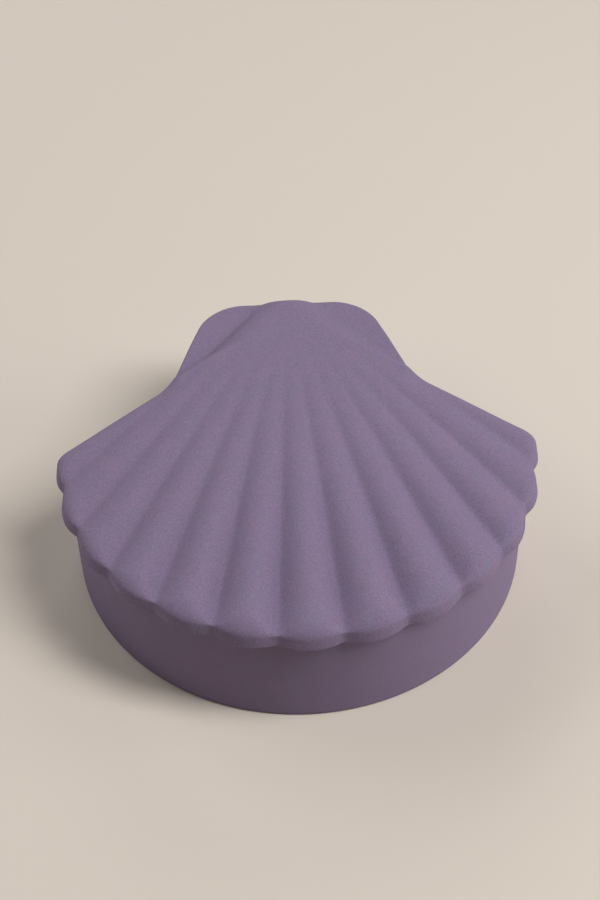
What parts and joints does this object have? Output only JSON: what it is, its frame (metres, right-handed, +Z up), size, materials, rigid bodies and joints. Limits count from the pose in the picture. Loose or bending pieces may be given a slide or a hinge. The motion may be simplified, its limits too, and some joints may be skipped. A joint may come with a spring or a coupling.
{
  "type": "shell box",
  "caption": "Lidded ceramic trinket box: a ribbed scallop-shell lid resting on a plain hollow base of the same outline.",
  "frame": {"origin": "on the table, at the middle of the base's round front arc", "axes": "+Z up; -Y towards the scalloped front; +Y towards the straight hinge edge; +X to the right as seen from the front"},
  "size_m": [0.1784, 0.1724, 0.0548],
  "materials": {
    "base_ceramic": "matt lavender, smooth to the touch",
    "lid_ceramic": "matt lavender, with a fine dry grain"
  },
  "bodies": {
    "root": {"base": "base_ceramic", "lid": "lid_ceramic"}
  },
  "joints": []
}
